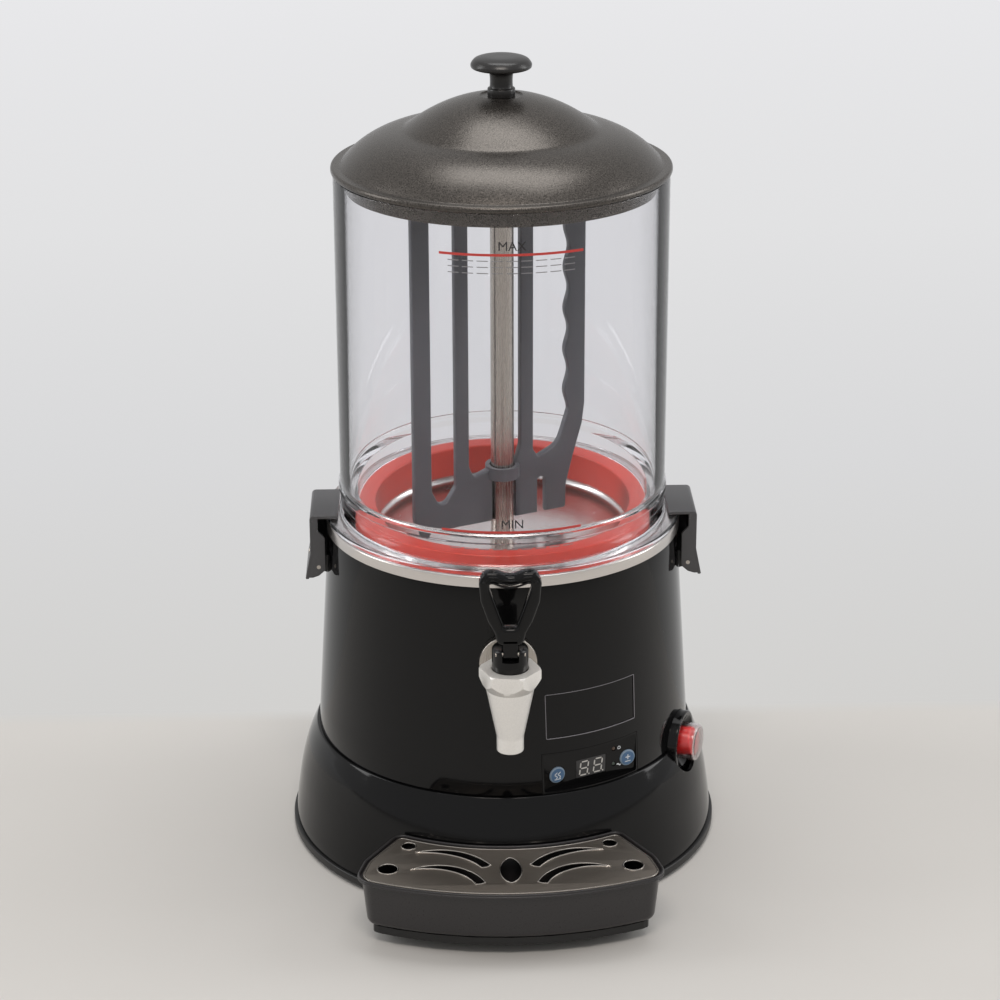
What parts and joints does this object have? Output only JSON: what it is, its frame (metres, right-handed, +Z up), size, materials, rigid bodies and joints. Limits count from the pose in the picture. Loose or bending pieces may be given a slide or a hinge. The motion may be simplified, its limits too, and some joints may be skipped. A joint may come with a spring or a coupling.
{
  "type": "hot chocolate dispenser machine",
  "caption": "Countertop hot chocolate machine: clear heated tank with a stirring paddle, lift-off lid, lever tap and sliding drip tray on a flared black body.",
  "frame": {"origin": "on the surface that the feet stand on, under the middle of the machine's box; the tank's and body's vertical axis stands 32.1 mm behind it, at y 0.0321", "axes": "+Z up along the tank's axis, -Y towards the tap and drip tray, +X to the right seen from the tap"},
  "size_m": [0.3144, 0.3786, 0.5776],
  "materials": {
    "black_shell": "high gloss, moulded",
    "base_black": "fine matt, moulded",
    "lid_grey": "satin with a fine sparkle",
    "tank_clear": "clear polycarbonate",
    "stirrer_grey": "satin, moulded",
    "seal_red": "silicone, satin",
    "bowl_steel": "satin, deep drawn",
    "fitting_steel": "plain stainless",
    "grid_steel": "brushed, punched",
    "tap_silver": "satin nickelled",
    "brass": "turned",
    "tray_grey": "satin, moulded",
    "clamp_grey": "powder coated",
    "motor_grey": "plain",
    "rubber_black": "matt",
    "button_blue": "satin dome",
    "window_smoke": "smoked clear",
    "boot_clear": "clear silicone",
    "rocker_red": "gloss",
    "led_amber": "tinted lens, unlit",
    "led_green": "tinted lens, unlit",
    "board_green": "circuit board"
  },
  "bodies": {
    "machine": {"base_plate": "fitting_steel", "foot_1": "rubber_black", "foot_2": "rubber_black", "foot_3": "rubber_black", "foot_4": "rubber_black", "base_ring": "base_black", "lower_skirt": "black_shell", "upper_housing": "black_shell", "badge_plate": "black_shell", "bowl": "bowl_steel", "bowl_seal": "seal_red", "water_bath": "bowl_steel", "heating_element": "fitting_steel", "temperature_probe": "fitting_steel", "riser_tube": "bowl_steel", "upper_bush": "brass", "lower_bush": "brass", "motor": "motor_grey", "gearbox": "motor_grey", "motor_bracket": "fitting_steel", "outlet_pipe": "fitting_steel", "tap_locknut": "brass", "tap_washer": "fitting_steel", "tap_body": "tap_silver", "tap_bonnet": "black_shell", "lever_pin": "fitting_steel", "tap_spring": "fitting_steel", "tank": "tank_clear", "control_facia": "black_shell", "display_window": "window_smoke", "display_module": "board_green", "control_board": "board_green", "led_upper": "led_amber", "led_lower": "led_green", "switch_bezel": "black_shell", "switch_boot": "boot_clear", "switch_body": "base_black", "clamp_lug_left": "base_black", "clamp_lug_right": "base_black", "clamp_pin_left": "fitting_steel", "clamp_pin_right": "fitting_steel", "tray_support": "base_black", "power_inlet": "base_black"},
    "lid": {"lid": "lid_grey", "lid_knob": "lid_grey", "lid_screw": "fitting_steel"},
    "stirrer": {"stirrer_paddle": "stirrer_grey", "stirrer_nut": "stirrer_grey", "drive_shaft": "fitting_steel", "shaft_coupling": "brass"},
    "tap_lever": {"tap_lever": "black_shell"},
    "tap_stem": {"tap_stem": "fitting_steel", "tap_seat": "rubber_black"},
    "rocker": {"switch_rocker": "rocker_red"},
    "button_left": {"button_left": "button_blue"},
    "button_right": {"button_right": "button_blue"},
    "clamp_left": {"clamp_left": "clamp_grey"},
    "clamp_right": {"clamp_right": "clamp_grey"},
    "drip_tray": {"drip_tray": "tray_grey"},
    "tray_grid": {"tray_grid": "grid_steel"}
  },
  "joints": [
    {"name": "lid_lift", "type": "slide", "parent": "machine", "child": "lid", "axis": [0, 0, 1], "range_m": [0, 0.15]},
    {"name": "stirrer_spin", "type": "hinge", "parent": "machine", "child": "stirrer", "pos_m": [0, 0.03211, 0.226], "axis": [0, 0, 1], "continuous": true},
    {"name": "tap_lever_pull", "type": "hinge", "parent": "machine", "child": "tap_lever", "pos_m": [0, -0.14839, 0.2132], "axis": [1, 0, 0], "range_deg": [0, 35], "stiffness_Nm_per_rad": 0.3, "springref_deg": -8.59},
    {"name": "tap_stem_lift", "type": "slide", "parent": "machine", "child": "tap_stem", "axis": [0, 0, 1], "range_m": [0, 0.004], "deforming": ["tap_spring"]},
    {"name": "rocker_tilt", "type": "hinge", "parent": "machine", "child": "rocker", "pos_m": [0.13092, -0.02025, 0.0835], "axis": [0.3714, 0.9285, 0], "range_deg": [0, 16]},
    {"name": "button_left_press", "type": "slide", "parent": "machine", "child": "button_left", "axis": [-0.4478, 0.8942, 0], "range_m": [0, 0.0008], "stiffness_N_per_m": 800},
    {"name": "button_right_press", "type": "slide", "parent": "machine", "child": "button_right", "axis": [-0.4478, 0.8942, 0], "range_m": [0, 0.0008], "stiffness_N_per_m": 800},
    {"name": "clamp_left_swing", "type": "hinge", "parent": "machine", "child": "clamp_left", "pos_m": [-0.13273, 0.03211, 0.2133], "axis": [0, -1, 0], "range_deg": [0, 50]},
    {"name": "clamp_right_swing", "type": "hinge", "parent": "machine", "child": "clamp_right", "pos_m": [0.13273, 0.03211, 0.2133], "axis": [0, 1, 0], "range_deg": [0, 50]},
    {"name": "tray_slide", "type": "slide", "parent": "machine", "child": "drip_tray", "axis": [0, -1, 0], "range_m": [0, 0.12]},
    {"name": "grid_lift", "type": "slide", "parent": "drip_tray", "child": "tray_grid", "axis": [0, 0, 1], "range_m": [0, 0.03]}
  ],
  "couplings": [
    {"joint": "tap_stem_lift", "follows": "tap_lever_pull", "m_per_rad": 0.0064}
  ]
}
